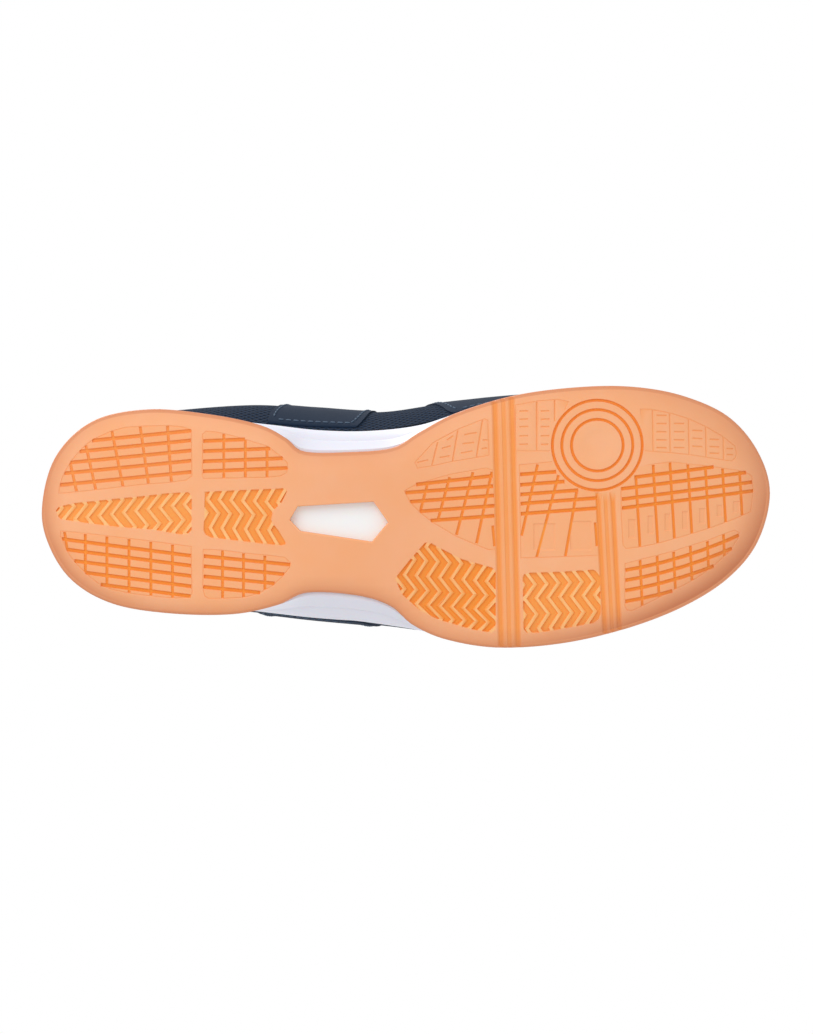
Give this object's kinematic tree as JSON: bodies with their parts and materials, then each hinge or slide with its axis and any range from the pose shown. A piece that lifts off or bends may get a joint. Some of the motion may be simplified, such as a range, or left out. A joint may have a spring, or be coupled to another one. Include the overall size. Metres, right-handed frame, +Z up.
{
  "type": "court shoe",
  "caption": "Left low-cut indoor court shoe with a patterned gum rubber outsole, pale foam midsole, dark laced mesh upper, and a forefoot that bends at the ball.",
  "frame": {"origin": "on the ground under the middle of the shoe's box, with the shoe standing on its sole", "axes": "+X towards the toe, +Y towards the outer (lateral) side of the foot, +Z up"},
  "size_m": [0.294, 0.1056, 0.119],
  "materials": {
    "gum_rubber": "moulded satin",
    "white_foam": "moulded foam skin",
    "white_plate": "satin moulded",
    "board_cloth": "needled cloth",
    "sockliner_cloth": "brushed knit on foam",
    "navy_mesh": "engineered mesh",
    "navy_overlay": "embossed synthetic",
    "stiffener": "thermoformed sheet",
    "lining_knit": "brushed knit",
    "tongue_cloth": "spacer mesh",
    "lace_weave": "flat tubular weave",
    "aglet_plastic": "clear film"
  },
  "bodies": {
    "shoe_rear": {"outsole_rear": "gum_rubber", "midsole_rear": "white_foam", "shank_plate": "white_plate", "lasting_board_rear": "board_cloth", "sockliner_rear": "sockliner_cloth", "quarter_medial": "navy_mesh", "quarter_lateral": "navy_mesh", "heel_counter": "stiffener", "heel_cap": "navy_overlay", "eyestay_medial": "navy_overlay", "eyestay_lateral": "navy_overlay", "side_panel_medial": "navy_overlay", "side_panel_lateral": "navy_overlay", "collar_foam": "lining_knit", "collar_lining": "lining_knit", "lace": "lace_weave", "aglets": "aglet_plastic"},
    "forefoot": {"outsole_forefoot": "gum_rubber", "midsole_forefoot": "white_foam", "lasting_board_forefoot": "board_cloth", "sockliner_forefoot": "sockliner_cloth", "toe_box": "navy_mesh", "toe_puff": "stiffener", "toe_guard": "navy_overlay", "vamp_flex_band": "navy_mesh"},
    "tongue": {"tongue": "tongue_cloth"}
  },
  "joints": [
    {"name": "forefoot_flex", "type": "hinge", "parent": "shoe_rear", "child": "forefoot", "pos_m": [0.0414, 0, 0.0136], "axis": [0, -1, 0], "range_deg": [0, 30], "stiffness_Nm_per_rad": 8, "deforming": ["vamp_flex_band"]},
    {"name": "tongue_swing", "type": "hinge", "parent": "shoe_rear", "child": "tongue", "pos_m": [0.0395, -0.0018, 0.0605], "axis": [0, -1, 0], "range_deg": [0, 8], "stiffness_Nm_per_rad": 0.5}
  ]
}
